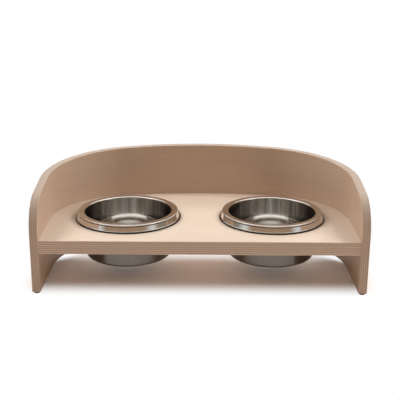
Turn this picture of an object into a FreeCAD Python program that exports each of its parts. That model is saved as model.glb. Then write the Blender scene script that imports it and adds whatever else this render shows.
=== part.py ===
import FreeCAD
import Part
import math
import os

# Elevated double pet bowl: a wall of moulded plywood bent round three sides of a plywood shelf,
# with two straight-sided steel bowls hanging in rubber rings in the shelf.
# Millimetres. The origin is on the floor under the middle of the outline; +X is to the right, +Y to
# the rear and +Z up.

# Moulded wall
overall_width = 480.0
overall_depth = 250.0
rear_height = 163.0
wall_thickness = 12.0
corner_radius = 131.0
rear_radius = 700.0
crown_radius = 2700.0
front_corner_radius = 50.0

# Rear cut-out of the wall, and the standing leg that it leaves on each side along the bent inner face
leg_length = 202.0
cutout_height = 50.0
cutout_corner_radius = 30.0

# Shelf
shelf_top_height = 80.0
shelf_thickness = 20.0
shelf_setback = 2.0
shelf_edge_radius = 1.0
glue_line = 0.1

# Bowls, and the shares of the shelf's spare width and depth that lie between and before their rings
middle_gap_share = 0.44
front_gap_share = 0.41
bowl_inner_radius = 66.0
bowl_height = 69.5
bowl_taper = 1.2
bowl_base_bend = 4.0
sheet_thickness = 0.9
rim_width = 10.0
rim_bend = 1.2
bead_height = 2.4
groove_depth = 0.8
groove_height = 1.2
groove_bend = 0.3
skirt_flare = 2.2
foot_lip = 2.1
foot_bend = 0.8
rim_above_shelf = 11.6

# Rubber rings under the bowls
ring_thickness = 1.4
ring_lip_thickness = 1.5
ring_lip_depth = 7.0
ring_overhang = 0.5
ring_to_bowl = 2.0

# Round feet under the wall
foot_diameter = 9.0
foot_height = 2.0
front_foot_inset = 6.0
rear_foot_inset = 9.0

# Dowels between shelf and wall
dowel_diameter = 8.0
dowel_length = 30.0
dowel_in_wall = 8.0
dowel_clearance = 0.05
dowel_pocket = 1.0
side_dowel_from_front = (30.0, 82.0)
rear_dowel_spacing = 75.0

# How far a cutting tool runs past the piece that it cuts, and how close counts as touching
overrun = 5.0
touching = 0.01

# Places that follow from the sizes above
front_y = -overall_depth / 2
inner_half_width = overall_width / 2 - wall_thickness
inner_rear_y = overall_depth / 2 - wall_thickness
rear_centre_y = inner_rear_y - rear_radius
corner_centre_x = inner_half_width - corner_radius
corner_centre_y = rear_centre_y + math.sqrt((rear_radius - corner_radius) ** 2 - corner_centre_x ** 2)
blend_angle = math.atan2(corner_centre_y - rear_centre_y, corner_centre_x)
rear_length = rear_radius * (math.pi / 2 - blend_angle)
corner_length = corner_radius * blend_angle
side_length = corner_centre_y - front_y
half_length = rear_length + corner_length + side_length
cutout_half_length = half_length - leg_length
shelf_middle_z = shelf_top_height - shelf_thickness / 2
bowl_outer_radius = bowl_inner_radius + sheet_thickness
rim_radius = bowl_inner_radius + rim_width
skirt_radius = rim_radius + skirt_flare
bowl_foot_radius = skirt_radius + foot_lip
hole_radius = bowl_outer_radius + ring_to_bowl + ring_lip_thickness
ring_radius = bowl_foot_radius + ring_overhang
spare_width = 2 * inner_half_width - 4 * ring_radius
spare_depth = inner_rear_y - front_y - 2 * ring_radius
bowl_x = ring_radius + middle_gap_share * spare_width / 2
bowl_y = front_y + ring_radius + front_gap_share * spare_depth
dowel_hole_radius = dowel_diameter / 2 + dowel_clearance

STATIONS = 41
UP = FreeCAD.Vector(0, 0, 1)


def plan_point(along, offset):
    """Point of the wall's plan: along the inner face from the rear middle, then outwards by offset."""
    side = -1 if along < 0 else 1
    distance = abs(along)
    if distance <= rear_length:
        angle = math.pi / 2 - distance / rear_radius
        reach = rear_radius + offset
        return side * reach * math.cos(angle), rear_centre_y + reach * math.sin(angle)
    if distance <= rear_length + corner_length:
        angle = blend_angle - (distance - rear_length) / corner_radius
        reach = corner_radius + offset
        x = corner_centre_x + reach * math.cos(angle)
        return side * x, corner_centre_y + reach * math.sin(angle)
    y = corner_centre_y - (distance - rear_length - corner_length)
    return side * (inner_half_width + offset), y


def plan_vector(along, offset, z):
    """The plan point as a vector at height z."""
    x, y = plan_point(along, offset)
    return FreeCAD.Vector(x, y, z)


def plan_edges(offset, reach, z):
    """Lines and arcs of the plan curve, pushed out by offset, between -reach and +reach along it."""
    ends = [rear_length, rear_length + corner_length]
    stops = [s for s in ends if s < reach] + [reach]
    cuts = [-s for s in reversed(stops)] + stops
    edges = []
    for start, end in zip(cuts[:-1], cuts[1:]):
        first = plan_vector(start, offset, z)
        last = plan_vector(end, offset, z)
        if abs(start + end) / 2 > ends[1]:
            edges.append(Part.LineSegment(first, last).toShape())
        else:
            middle = plan_vector((start + end) / 2, offset, z)
            edges.append(Part.Arc(first, middle, last).toShape())
    return edges


def plan_band(inner, outer, reach, low, high):
    """Solid of the wall's plan between two offsets, between two heights, for reach each way."""
    edges = plan_edges(inner, reach, low) + plan_edges(outer, reach, low)
    for end in (-reach, reach):
        edges.append(Part.LineSegment(plan_vector(end, inner, low), plan_vector(end, outer, low)).toShape())
    wire = Part.Wire(Part.__sortEdges__(edges))
    return Part.Face(wire).extrude(UP * (high - low))


def top_height(along):
    """Height of the top edge: one large arc on the flat blank, highest at the rear middle."""
    return rear_height - crown_radius + math.sqrt(crown_radius ** 2 - along ** 2)


def crown_cutter():
    """Everything above the crowned top edge, over a surface that is level across the wall."""
    reach = half_length + overrun
    stations = [reach * (2 * i / (STATIONS - 1) - 1) for i in range(STATIONS)]
    rails = []
    for offset in (-overrun, wall_thickness + overrun):
        curve = Part.BSplineCurve()
        curve.interpolate([plan_vector(s, offset, top_height(s)) for s in stations])
        rails.append(curve.toShape())
    return Part.makeRuledSurface(rails[0], rails[1]).extrude(UP * rear_height)


def front_corner_cutter():
    """Everything outside the round upper front corners, carried across the whole width."""
    crown_centre_z = rear_height - crown_radius
    inset = half_length - front_corner_radius
    rise = math.sqrt((crown_radius - front_corner_radius) ** 2 - inset ** 2)
    ratio = crown_radius / (crown_radius - front_corner_radius)
    arc_centre_z = crown_centre_z + rise
    touch_y = front_y + half_length - inset * ratio
    touch_z = crown_centre_z + rise * ratio
    arc_centre_y = front_y + front_corner_radius
    middle_angle = (math.pi + math.atan2(touch_z - arc_centre_z, touch_y - arc_centre_y)) / 2
    x = -overall_width / 2 - overrun
    start = FreeCAD.Vector(x, front_y, arc_centre_z)
    middle = FreeCAD.Vector(
        x,
        arc_centre_y + front_corner_radius * math.cos(middle_angle),
        arc_centre_z + front_corner_radius * math.sin(middle_angle),
    )
    touch = FreeCAD.Vector(x, touch_y, touch_z)
    corners = [
        touch,
        FreeCAD.Vector(x, touch_y, rear_height + overrun),
        FreeCAD.Vector(x, front_y - overrun, rear_height + overrun),
        FreeCAD.Vector(x, front_y - overrun, arc_centre_z),
        start,
    ]
    edges = [Part.Arc(start, middle, touch).toShape()]
    edges += [Part.LineSegment(a, b).toShape() for a, b in zip(corners[:-1], corners[1:])]
    face = Part.Face(Part.Wire(edges))
    return face.extrude(FreeCAD.Vector(overall_width + 2 * overrun, 0, 0))


def cutout_cutter():
    """The opening in the lower rear of the wall, with rounded upper corners."""
    low = foot_height - overrun
    tool = plan_band(-overrun, wall_thickness + overrun, cutout_half_length, low, cutout_height)
    corners = []
    for end in (-cutout_half_length, cutout_half_length):
        corner = plan_vector(end, wall_thickness / 2, cutout_height)
        corners += [e for e in tool.Edges if e.distToShape(Part.Vertex(corner))[0] < touching]
    return tool.makeFillet(cutout_corner_radius, corners)


def dowel_axes():
    """Name, point on the wall's inner face and direction into the wall of each dowel, by group."""
    groups = {}
    for name, side in (("left_shelf_dowels", -1), ("right_shelf_dowels", 1)):
        into = FreeCAD.Vector(side, 0, 0)
        x = side * inner_half_width
        groups[name] = [(FreeCAD.Vector(x, front_y + d, shelf_middle_z), into) for d in side_dowel_from_front]
    rear = []
    for step in (-1, 0, 1):
        x = step * rear_dowel_spacing
        y = rear_centre_y + math.sqrt(rear_radius ** 2 - x ** 2)
        rear.append((FreeCAD.Vector(x, y, shelf_middle_z), FreeCAD.Vector(0, 1, 0)))
    groups["rear_shelf_dowels"] = rear
    return groups


def dowel_rod(point, into, radius, spare):
    """Round rod across the joint, longer by spare at each end."""
    start = point - into * (dowel_length - dowel_in_wall + spare)
    return Part.makeCylinder(radius, dowel_length + 2 * spare, start, into)


def dowel_holes():
    """All dowel holes, with a pocket for glue at each end."""
    holes = []
    for group in dowel_axes().values():
        holes += [dowel_rod(point, into, dowel_hole_radius, dowel_pocket) for point, into in group]
    return holes


def make_wall():
    """The moulded wall: a bent band with a crowned top, round front corners and a rear cut-out."""
    band = plan_band(0, wall_thickness, half_length, foot_height, rear_height + overrun)
    return band.cut([crown_cutter(), front_corner_cutter(), cutout_cutter()] + dowel_holes())


def make_shelf():
    """The shelf: a board that fills the wall's plan, with a round hole for each bowl."""
    bottom = shelf_top_height - shelf_thickness
    reach = half_length - shelf_setback
    edges = plan_edges(-glue_line, reach, bottom)
    edges.append(Part.LineSegment(
        plan_vector(-reach, -glue_line, bottom),
        plan_vector(reach, -glue_line, bottom),
    ).toShape())
    board = Part.Face(Part.Wire(Part.__sortEdges__(edges))).extrude(UP * shelf_thickness)
    shelf_front_y = front_y + shelf_setback
    front_edges = [
        e for e in board.Edges
        if abs(e.CenterOfMass.y - shelf_front_y) < touching and e.Length > overall_width / 2
    ]
    board = board.makeFillet(shelf_edge_radius, front_edges)
    holes = []
    for side in (-1, 1):
        foot = FreeCAD.Vector(side * bowl_x, bowl_y, bottom - overrun)
        holes.append(Part.makeCylinder(hole_radius, shelf_thickness + 2 * overrun, foot))
    return board.cut(holes + dowel_holes())


def shifted_points(points, distance):
    """The corners of a path with every straight run moved to its right by distance."""
    runs = []
    for (r0, z0), (r1, z1) in zip(points[:-1], points[1:]):
        length = math.hypot(r1 - r0, z1 - z0)
        dr, dz = (r1 - r0) / length, (z1 - z0) / length
        runs.append((r0 + distance * dz, z0 - distance * dr, dr, dz))
    moved = [runs[0][:2]]
    for (r0, z0, dr0, dz0), (r1, z1, dr1, dz1) in zip(runs[:-1], runs[1:]):
        cross = dr0 * dz1 - dz0 * dr1
        t = ((r1 - r0) * dz1 - (z1 - z0) * dr1) / cross
        moved.append((r0 + t * dr0, z0 + t * dz0))
    last_r, last_z = points[-1]
    dr, dz = runs[-1][2:]
    moved.append((last_r + distance * dz, last_z - distance * dr))
    return moved


def path_edges(points, radii):
    """Lines of a path in the XZ plane, with each inner corner rounded by its radius."""
    vectors = [FreeCAD.Vector(r, 0, z) for r, z in points]
    edges = []
    start = vectors[0]
    for before, corner, after, radius in zip(vectors[:-2], vectors[1:-1], vectors[2:], radii):
        back = (before - corner).normalize()
        ahead = (after - corner).normalize()
        half = back.getAngle(ahead) / 2
        first = corner + back * (radius / math.tan(half))
        last = corner + ahead * (radius / math.tan(half))
        bisector = (back + ahead).normalize()
        middle = corner + bisector * (radius / math.sin(half) - radius)
        edges.append(Part.LineSegment(start, first).toShape())
        edges.append(Part.Arc(first, middle, last).toShape())
        start = last
    edges.append(Part.LineSegment(start, vectors[-1]).toShape())
    return edges


def sheet_face(points, bends, thickness):
    """Section of a bent sheet: the visible face follows the points, the other lies to their right.

    Each bend is the radius on its inner side; the face on the outer side gets the thickness added.
    """
    face_radii = []
    back_radii = []
    for (r0, z0), (r1, z1), (r2, z2), bend in zip(points[:-2], points[1:-1], points[2:], bends):
        turns_left = (r1 - r0) * (z2 - z1) - (z1 - z0) * (r2 - r1) > 0
        face_radii.append(bend if turns_left else bend + thickness)
        back_radii.append(bend + thickness if turns_left else bend)
    back_points = shifted_points(points, thickness)
    edges = path_edges(points, face_radii) + path_edges(back_points, back_radii)
    for front, back in ((points[0], back_points[0]), (points[-1], back_points[-1])):
        edges.append(Part.LineSegment(
            FreeCAD.Vector(front[0], 0, front[1]),
            FreeCAD.Vector(back[0], 0, back[1]),
        ).toShape())
    return Part.Face(Part.Wire(Part.__sortEdges__(edges)))


def bowl_path():
    """Visible face of the bowl's sheet, from the middle of the base to the lip of the skirt."""
    rim_z = shelf_top_height + rim_above_shelf
    base_z = rim_z - bowl_height + sheet_thickness
    lip_z = shelf_top_height + ring_thickness + sheet_thickness
    groove_z = rim_z - bead_height - groove_height
    points = [
        (0, base_z),
        (bowl_inner_radius - bowl_taper, base_z),
        (bowl_inner_radius, rim_z),
        (rim_radius, rim_z),
        (rim_radius, rim_z - bead_height),
        (rim_radius - groove_depth, groove_z),
        (skirt_radius, lip_z),
        (bowl_foot_radius, lip_z),
    ]
    bends = [bowl_base_bend, rim_bend, groove_bend, groove_bend, groove_bend, foot_bend]
    return points, bends


def make_bowl(side):
    """One bowl, drawn from a single sheet, with a flat rim, a bead, a skirt and a lip on the ring."""
    points, bends = bowl_path()
    section = sheet_face(points, bends, sheet_thickness)
    bowl = section.revolve(FreeCAD.Vector(0, 0, 0), UP, 360)
    bowl.translate(FreeCAD.Vector(side * bowl_x, bowl_y, 0))
    return bowl


def make_ring(side):
    """One rubber ring: a flat flange on the shelf with a lip that lines the edge of the hole."""
    lip_outer = hole_radius - glue_line
    lip_inner = hole_radius - ring_lip_thickness
    section = [
        (lip_inner, shelf_top_height - ring_lip_depth),
        (lip_outer, shelf_top_height - ring_lip_depth),
        (lip_outer, shelf_top_height),
        (ring_radius, shelf_top_height),
        (ring_radius, shelf_top_height + ring_thickness),
        (lip_inner, shelf_top_height + ring_thickness),
    ]
    corners = [FreeCAD.Vector(r, 0, z) for r, z in section]
    ring = Part.Face(Part.makePolygon(corners + corners[:1])).revolve(FreeCAD.Vector(0, 0, 0), UP, 360)
    ring.translate(FreeCAD.Vector(side * bowl_x, bowl_y, 0))
    return ring


def make_foot(along):
    """One round rubber foot under the middle of the wall's thickness."""
    return Part.makeCylinder(foot_diameter / 2, foot_height, plan_vector(along, wall_thickness / 2, 0))


def make_parts():
    """All pieces of the assembly by name."""
    front_foot = half_length - front_foot_inset
    rear_foot = cutout_half_length + rear_foot_inset
    parts = {
        "curved_wall": make_wall(),
        "bowl_shelf": make_shelf(),
        "left_bowl": make_bowl(-1),
        "right_bowl": make_bowl(1),
        "left_bowl_ring": make_ring(-1),
        "right_bowl_ring": make_ring(1),
        "front_left_foot": make_foot(-front_foot),
        "front_right_foot": make_foot(front_foot),
        "rear_left_foot": make_foot(-rear_foot),
        "rear_right_foot": make_foot(rear_foot),
    }
    for name, group in dowel_axes().items():
        rods = [dowel_rod(point, into, dowel_diameter / 2, 0) for point, into in group]
        parts[name] = Part.makeCompound(rods)
    return parts


os.makedirs("parts", exist_ok=True)
for name, shape in make_parts().items():
    shape.exportStep(os.path.join("parts", name + ".step"))
    box = shape.optimalBoundingBox(False, False)
    print(
        f"{name}: {len(shape.Solids)} solid, {shape.Volume / 1000:.1f} cm3, "
        f"{box.XLength:.1f} x {box.YLength:.1f} x {box.ZLength:.1f} mm, valid {shape.isValid()}"
    )
print(f"half length of the inner face {half_length:.1f}, straight side {side_length:.1f}")
print(f"bowl centres at x {bowl_x:.2f} and y {bowl_y:.2f}, cut-out {cutout_half_length:.1f} each way")
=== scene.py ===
# %% [markdown]
# # A raised feeder with two lift-out bowls
#
# The real object is a board of plywood, bent round the back and sides of a flat plywood shelf, with two
# steel bowls that hang in rubber rings in the shelf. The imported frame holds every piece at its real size.
# This lesson dresses that frame: each piece that shows gets a smooth surface, worked out with numpy, and
# a finish made of shader nodes.

# %% Load the frame
import math

import bpy
import numpy as np
from mathutils import Matrix, Vector


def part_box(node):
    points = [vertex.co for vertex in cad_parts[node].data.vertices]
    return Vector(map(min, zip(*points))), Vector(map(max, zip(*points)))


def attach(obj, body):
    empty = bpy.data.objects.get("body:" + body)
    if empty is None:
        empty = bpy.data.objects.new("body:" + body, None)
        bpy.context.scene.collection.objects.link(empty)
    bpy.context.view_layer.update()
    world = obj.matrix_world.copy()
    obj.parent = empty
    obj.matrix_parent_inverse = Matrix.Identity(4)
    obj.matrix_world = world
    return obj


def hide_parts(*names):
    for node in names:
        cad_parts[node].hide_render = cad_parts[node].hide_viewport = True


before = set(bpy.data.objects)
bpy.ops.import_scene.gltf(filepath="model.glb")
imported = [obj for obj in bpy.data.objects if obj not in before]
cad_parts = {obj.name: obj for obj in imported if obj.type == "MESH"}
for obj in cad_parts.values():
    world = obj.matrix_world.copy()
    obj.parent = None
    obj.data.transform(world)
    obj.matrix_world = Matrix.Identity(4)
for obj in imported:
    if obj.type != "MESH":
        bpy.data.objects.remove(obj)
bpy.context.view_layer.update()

MM = 0.001
print("frame:", sorted(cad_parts))

# %% [markdown]
# ## Sizes that the frame gives
#
# A piece that replaces a CAD node has to lie where that node lies, so the large sizes are read from the
# boxes of the nodes. Only bends and radii, which a box can't tell, are written here as numbers.

# %% Sizes of the bent wall
wall_low, wall_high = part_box("curved_wall")
shelf_low, shelf_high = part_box("bowl_shelf")
GLUE_LINE = 0.1 * MM
INNER_HALF_WIDTH = shelf_high.x + GLUE_LINE
WALL_THICKNESS = wall_high.x - INNER_HALF_WIDTH
CORNER_RADIUS = 131 * MM
REAR_RADIUS = 700 * MM
REAR_CENTRE_Y = wall_high.y - WALL_THICKNESS - REAR_RADIUS
CORNER_X = INNER_HALF_WIDTH - CORNER_RADIUS
CORNER_Y = REAR_CENTRE_Y + math.sqrt((REAR_RADIUS - CORNER_RADIUS) ** 2 - CORNER_X ** 2)
BLEND_ANGLE = math.atan2(CORNER_Y - REAR_CENTRE_Y, CORNER_X)
REAR_LENGTH = REAR_RADIUS * (math.pi / 2 - BLEND_ANGLE)
CORNER_LENGTH = CORNER_RADIUS * BLEND_ANGLE
HALF_LENGTH = REAR_LENGTH + CORNER_LENGTH + CORNER_Y - wall_low.y
print(f"wall {WALL_THICKNESS / MM:.2f} mm thick, half of its inner face {HALF_LENGTH / MM:.1f} mm long")

# %% [markdown]
# ## From arrays to a mesh
#
# Every new piece is a grid of points with a known normal at each of them. Blender can guess normals from
# the faces, but on a flat beside a tiny bend that guess bends the flat too, and polished steel shows it.
# So the exact normals are set as custom normals, and each vertex also keeps a vector that tells the
# material where it lies on the piece.

# %% Mesh helpers
def grid_faces(index, close_rows=False):
    """Quads between neighbours in a table of vertex numbers; the last row may join the first."""
    if close_rows:
        index = np.vstack([index, index[:1]])
    corners = (index[:-1, :-1], index[1:, :-1], index[1:, 1:], index[:-1, 1:])
    return np.stack(corners, axis=-1).reshape(-1, 4)


def new_object(name, data):
    """Object in the scene, at the origin, that holds a mesh, a lamp or a camera."""
    made = bpy.data.objects.new(name, data)
    bpy.context.scene.collection.objects.link(made)
    return made


def new_piece(name, points, normals, faces, place, material):
    """A mesh object from arrays of points, unit normals, faces and the material's own coordinates."""
    mesh = bpy.data.meshes.new(name)
    mesh.from_pydata(points.tolist(), [], faces)
    mesh.polygons.foreach_set("use_smooth", np.ones(len(mesh.polygons), dtype=bool))
    attribute = mesh.attributes.new("place", "FLOAT_VECTOR", "POINT")
    attribute.data.foreach_set("vector", place.astype(np.float32).ravel())
    mesh.materials.append(material)
    outward = np.empty(3 * len(faces))
    mesh.polygons.foreach_get("normal", outward)
    first = np.array([face[0] for face in faces])
    agreeing = np.sum(outward.reshape(-1, 3) * normals[first], axis=1) > 0
    mesh.normals_split_custom_set_from_vertices(normals.tolist())
    print(f"{name}: {len(points)} points, {len(faces)} faces, {agreeing.mean():.1%} facing as their normals")
    return new_object(name, mesh)


print("a grid of 3 by 3 points has", len(grid_faces(np.arange(9).reshape(3, 3))), "faces")

# %% [markdown]
# ## Building finishes from nodes
#
# A finish is a small graph of nodes. A few helpers keep the graphs readable: one makes a node and feeds
# its inputs, and the others do the same for arithmetic, noise and mixing. Node groups hold what several
# finishes share.

# %% Node helpers
def add(tree, kind, inputs=None, **settings):
    """New node with its settings; each input takes a plain value or the socket that feeds it."""
    made = tree.nodes.new(kind)
    for name, value in settings.items():
        setattr(made, name, value)
    for name, value in (inputs or {}).items():
        if isinstance(value, bpy.types.NodeSocket):
            tree.links.new(value, made.inputs[name])
        else:
            made.inputs[name].default_value = value
    return made


def calc(tree, operation, *values):
    """Result of one arithmetic node."""
    return add(tree, "ShaderNodeMath", dict(enumerate(values)), operation=operation).outputs[0]


def weighted(tree, *pairs):
    """Sum of values, each times its weight."""
    total = calc(tree, "MULTIPLY", *pairs[0])
    for value, weight in pairs[1:]:
        total = calc(tree, "ADD", total, calc(tree, "MULTIPLY", value, weight))
    return total


def vector(tree, x, y, z):
    """Vector built from three values or sockets."""
    return add(tree, "ShaderNodeCombineXYZ", {0: x, 1: y, 2: z}).outputs[0]


def parts_of(tree, place):
    """The three parts of a vector."""
    return add(tree, "ShaderNodeSeparateXYZ", {0: place}).outputs


def vector_calc(tree, operation, *values):
    """Result of one node of vector arithmetic."""
    return add(tree, "ShaderNodeVectorMath", dict(enumerate(values)), operation=operation).outputs[0]


def noise(tree, place, scale, detail=2.0, roughness=0.5):
    """Soft noise from 0 to 1 at a place, with so many waves in each unit."""
    inputs = {"Vector": place, "Scale": scale, "Detail": detail, "Roughness": roughness}
    return add(tree, "ShaderNodeTexNoise", inputs).outputs["Fac"]


def remap(tree, value, low, high, to_low=0.0, to_high=1.0, interpolation="LINEAR"):
    """The value stretched from one range to another, and held inside it."""
    inputs = {0: value, 1: low, 2: high, 3: to_low, 4: to_high}
    return add(tree, "ShaderNodeMapRange", inputs, interpolation_type=interpolation).outputs[0]


def blend_colors(tree, share, first, second):
    """Two colours mixed by a share of the second."""
    return add(tree, "ShaderNodeMix", {0: share, 6: first, 7: second}, data_type="RGBA").outputs[2]


def object_place(tree):
    """Place on the object, in metres."""
    return add(tree, "ShaderNodeTexCoord").outputs["Object"]


def own_place(tree):
    """The vector that each vertex of a new piece keeps for its material."""
    return add(tree, "ShaderNodeAttribute", attribute_name="place").outputs["Vector"]


def new_group(name, inputs, outputs):
    """Empty node group with named sockets, given as pairs of name and kind."""
    tree = bpy.data.node_groups.new(name, "ShaderNodeTree")
    for label, kind in inputs:
        tree.interface.new_socket(label, in_out="INPUT", socket_type=kind)
    for label, kind in outputs:
        tree.interface.new_socket(label, in_out="OUTPUT", socket_type=kind)
    return tree, tree.nodes.new("NodeGroupInput").outputs, tree.nodes.new("NodeGroupOutput").inputs


def new_material(name):
    """New material, its node tree and its Principled shader."""
    material = bpy.data.materials.new(name)
    material.use_nodes = True
    shader = material.node_tree.nodes["Principled BSDF"]
    return material, material.node_tree, shader


FLOAT, COLOR, VECTOR = "NodeSocketFloat", "NodeSocketColor", "NodeSocketVector"
print("kinds of group socket:", FLOAT, COLOR, VECTOR)

# %% [markdown]
# ## Plywood
#
# Plywood is a stack of veneers whose grain turns by a quarter from one to the next. On the broad faces
# only the outer veneer shows, pale with soft streaks along the grain and short dark flecks. On a cut
# edge the stack itself shows: long grain reads light, end grain reads dark, and a thin glue line parts
# them. The group takes one vector, how far along the grain, how far across it and how deep in the board,
# so the same group serves the bent wall, the flat shelf and any cut through them.

# %% Veneer figure
WANDER_WAVES = 9.0
WANDER = 12 * MM
CLOUD_WAVES = (4.0, 18.0)
STREAK_WAVES = (7.0, 240.0)
PORE_WAVES = (120.0, 2400.0)
FLECK_WAVES = (260.0, 1300.0)
CLOUD_SHARE = 0.45
STREAK_SHARE = 0.4
PORE_SHARE = 0.15
FLECK_RANGE = (0.62, 0.72)


def veneer_group():
    """Streaks, clouds and flecks of one veneer, from a place given along and across the grain in metres.

    Each of them is a noise stretched along the grain, and a slow noise makes the grain wander sideways.
    """
    tree, given, result = new_group(
        "veneer figure",
        [("Place", VECTOR)],
        [("Tone", FLOAT), ("Flecks", FLOAT)],
    )
    along, straight, deep = parts_of(tree, given["Place"])
    wander = noise(tree, given["Place"], WANDER_WAVES)
    across = calc(tree, "ADD", straight, calc(tree, "MULTIPLY", wander, WANDER))

    def figure(waves, detail, roughness=0.5):
        """Noise with so many waves in each metre along and across the grain."""
        along_waves = calc(tree, "MULTIPLY", along, waves[0])
        across_waves = calc(tree, "MULTIPLY", across, waves[1])
        return noise(tree, vector(tree, along_waves, across_waves, deep), 1.0, detail, roughness)

    clouds = figure(CLOUD_WAVES, detail=3.0)
    streaks = figure(STREAK_WAVES, detail=4.0, roughness=0.6)
    pores = figure(PORE_WAVES, detail=2.0)
    tone = weighted(tree, (clouds, CLOUD_SHARE), (streaks, STREAK_SHARE), (pores, PORE_SHARE))
    tree.links.new(tone, result["Tone"])
    tree.links.new(remap(tree, figure(FLECK_WAVES, detail=1.0), *FLECK_RANGE), result["Flecks"])
    return tree


VENEER = veneer_group()
print("group:", VENEER.name, [item.name for item in VENEER.interface.items_tree])

# %% Stack of plies
TONE_RANGE = (0.3, 0.7)
FLECK_DARKENING = 0.22
SPECKLE_WAVES = (900.0, 900.0, 900.0)
END_GRAIN_SHARE = 0.7
PLY_TONE_SHARE = 0.22
SPECKLE_SHARE = 0.15
GLUE_COLOR = (0.12, 0.07, 0.045, 1.0)
GLUE_WIDTH = 0.12
GLUE_DARKENING = 0.3
CUT_RANGE = (0.15, 0.5)
WOOD_ROUGHNESS = (0.42, 0.56)
FLECK_DEPTH = 0.3
GLUE_DEPTH = 2.0


def plywood_group():
    """Colour, roughness and height of a board, from its place in metres and the depth counted in plies.

    On a face the veneer's tone mixes its light and its dark colour. On a cut the plies are light and dark
    in turn, each with a tone of its own, and a glue line darkens the ends of each ply.
    """
    tree, given, result = new_group(
        "plywood",
        [("Place", VECTOR), ("Ply", FLOAT), ("Plies", FLOAT), ("Light", COLOR), ("Dark", COLOR),
         ("Long Grain", COLOR), ("End Grain", COLOR)],
        [("Color", COLOR), ("Roughness", FLOAT), ("Height", FLOAT)],
    )
    figure = add(tree, "ShaderNodeGroup", {"Place": given["Place"]}, node_tree=VENEER).outputs
    face = blend_colors(tree, remap(tree, figure["Tone"], *TONE_RANGE), given["Light"], given["Dark"])
    fleck_share = calc(tree, "MULTIPLY", figure["Flecks"], FLECK_DARKENING)
    face = blend_colors(tree, fleck_share, face, given["End Grain"])
    number = calc(tree, "FLOOR", given["Ply"])
    odd = calc(tree, "MODULO", number, 2.0)
    own_tone = add(tree, "ShaderNodeTexWhiteNoise", {"W": number}, noise_dimensions="1D").outputs["Value"]
    speckle = noise(tree, vector_calc(tree, "MULTIPLY", given["Place"], SPECKLE_WAVES), 1.0)
    stripe_share = weighted(
        tree, (odd, END_GRAIN_SHARE), (own_tone, PLY_TONE_SHARE), (speckle, SPECKLE_SHARE)
    )
    stripe = blend_colors(tree, stripe_share, given["Long Grain"], given["End Grain"])
    inside = calc(tree, "FRACT", given["Ply"])
    from_glue = calc(tree, "MINIMUM", inside, calc(tree, "SUBTRACT", 1.0, inside))
    glue = remap(tree, from_glue, 0.0, GLUE_WIDTH, GLUE_DARKENING, 0.0)
    stripe = blend_colors(tree, glue, stripe, GLUE_COLOR)
    from_back = calc(tree, "SUBTRACT", given["Plies"], given["Ply"])
    cut = remap(tree, calc(tree, "MINIMUM", given["Ply"], from_back), *CUT_RANGE)
    relief = calc(tree, "SUBTRACT", figure["Tone"], calc(tree, "MULTIPLY", figure["Flecks"], FLECK_DEPTH))
    groove = calc(tree, "MULTIPLY", calc(tree, "MULTIPLY", glue, cut), GLUE_DEPTH)
    tree.links.new(blend_colors(tree, cut, face, stripe), result["Color"])
    tree.links.new(remap(tree, figure["Tone"], *TONE_RANGE, *WOOD_ROUGHNESS), result["Roughness"])
    tree.links.new(calc(tree, "SUBTRACT", relief, groove), result["Height"])
    return tree


PLYWOOD = plywood_group()
print("group:", PLYWOOD.name, [item.name for item in PLYWOOD.interface.items_tree])

# %% Plywood materials
WALL_WOOD = {
    "Light": (0.665, 0.503, 0.381, 1.0), "Dark": (0.565, 0.407, 0.299, 1.0),
    "Long Grain": (0.61, 0.495, 0.405, 1.0), "End Grain": (0.40, 0.315, 0.255, 1.0),
}
SHELF_WOOD = {
    "Light": (0.825, 0.69, 0.57, 1.0), "Dark": (0.735, 0.595, 0.475, 1.0),
    "Long Grain": (0.73, 0.595, 0.495, 1.0), "End Grain": (0.47, 0.37, 0.305, 1.0),
}
WALL_PLIES = 9
SHELF_PLIES = 13
SHELF_THICKNESS = shelf_high.z - shelf_low.z
PLY_MARGIN = 0.001
WOOD_BUMP = 0.25
WOOD_RELIEF = 0.05 * MM
WOOD_SPECULAR = 0.2


def plywood_material(name, place, depth, thickness, plies, wood):
    """Plywood whose place and depth come from functions that read the piece's own coordinates."""
    material, tree, shader = new_material(name)
    board = place(tree)
    ply = calc(tree, "MULTIPLY", depth(tree, board), plies / thickness)
    ply = calc(tree, "MINIMUM", calc(tree, "MAXIMUM", ply, PLY_MARGIN), plies - PLY_MARGIN)
    inputs = {"Place": board, "Ply": ply, "Plies": float(plies), **wood}
    group = add(tree, "ShaderNodeGroup", inputs, node_tree=PLYWOOD).outputs
    relief = {"Height": group["Height"], "Strength": WOOD_BUMP, "Distance": WOOD_RELIEF}
    tree.links.new(group["Color"], shader.inputs["Base Color"])
    tree.links.new(group["Roughness"], shader.inputs["Roughness"])
    tree.links.new(add(tree, "ShaderNodeBump", relief).outputs[0], shader.inputs["Normal"])
    shader.inputs["Specular IOR Level"].default_value = WOOD_SPECULAR
    return material


def wall_depth(tree, board):
    """On the wall, depth is the third part of the place that its vertices keep."""
    return parts_of(tree, board)[2]


def shelf_depth(tree, board):
    """On the flat shelf the grain runs along X, and depth is counted down from its top."""
    return calc(tree, "SUBTRACT", shelf_high.z, parts_of(tree, board)[2])


wall_wood = plywood_material("wall_plywood", own_place, wall_depth, WALL_THICKNESS, WALL_PLIES, WALL_WOOD)
shelf_wood = plywood_material(
    "shelf_plywood", object_place, shelf_depth, SHELF_THICKNESS, SHELF_PLIES, SHELF_WOOD
)
print("materials:", wall_wood.name, shelf_wood.name)

# %% [markdown]
# ## The bent wall
#
# The wall starts as a flat blank: a long strip with a crowned top, round upper front corners and a cut-out
# below. A press then bends it round a mould. It could be modelled as a box with booleans, but the press
# shows the better way: draw the blank's lower and upper outline, fill the strip between them with straight
# rulings, and carry every point from the flat blank onto the bent plan. A rounded band joins the inner
# and the outer face, so the edges catch light as sanded edges do.

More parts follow.
